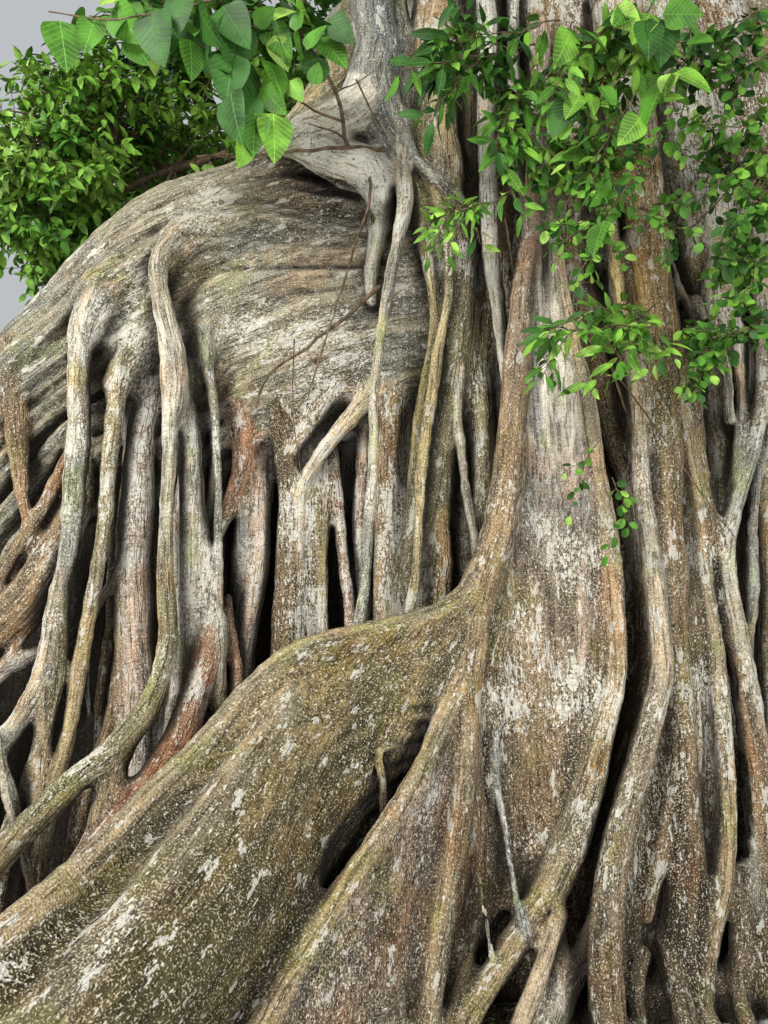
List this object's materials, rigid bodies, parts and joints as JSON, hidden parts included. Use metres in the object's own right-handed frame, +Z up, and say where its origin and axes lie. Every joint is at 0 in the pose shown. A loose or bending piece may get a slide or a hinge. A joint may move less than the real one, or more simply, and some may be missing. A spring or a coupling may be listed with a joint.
{
  "type": "buttressed strangler fig tree",
  "caption": "Large strangler fig: a trunk of fused stems on plate buttresses, a high arching buttress with prop roots, hanging roots, spreading boughs and a full crown.",
  "frame": {"origin": "the middle of the flat cut under the trunk, at ground level", "axes": "+Z is up along the trunk. -Y is the side that the picture shows, with +X on its right; the high arching buttress reaches towards -X."},
  "size_m": [15.3539, 15.2047, 14.3249],
  "materials": {
    "bark": "rough pale brown bark with lichen",
    "slab": "rough grey wrinkled bark",
    "root": "rough pale mottled bark",
    "bough": "grey-brown bark",
    "leaf": "leathery green leaves on brown twigs"
  },
  "bodies": {
    "root": {"arch_buttress": "slab", "back_prop_root_1": "root", "back_prop_root_2": "root", "back_prop_root_3": "root", "back_prop_root_4": "root", "bough_low_1": "bough", "bough_low_2": "bough", "bough_low_3": "bough", "bough_low_4": "bough", "bough_low_5": "bough", "bough_low_6": "bough", "bough_middle_1": "bough", "bough_middle_2": "bough", "bough_middle_3": "bough", "bough_middle_4": "bough", "bough_middle_5": "bough", "bough_top_1": "bough", "bough_top_2": "bough", "bough_top_3": "bough", "bough_top_4": "bough", "hanging_root_1": "root", "hanging_root_2": "root", "leaves_low_1": "leaf", "leaves_low_2": "leaf", "leaves_low_3": "leaf", "leaves_low_4": "leaf", "leaves_low_5": "leaf", "leaves_low_6": "leaf", "leaves_middle_1": "leaf", "leaves_middle_2": "leaf", "leaves_middle_3": "leaf", "leaves_middle_4": "leaf", "leaves_middle_5": "leaf", "leaves_top_1": "leaf", "leaves_top_2": "leaf", "leaves_top_3": "leaf", "leaves_top_4": "leaf", "prop_root_1": "root", "prop_root_10": "root", "prop_root_2": "root", "prop_root_3": "root", "prop_root_4": "root", "prop_root_5": "root", "prop_root_6": "root", "prop_root_7": "root", "prop_root_8": "root", "prop_root_9": "root", "spray_back_left": "leaf", "spray_front_left": "leaf", "spray_front_right": "leaf", "trunk": "bark"}
  },
  "joints": []
}
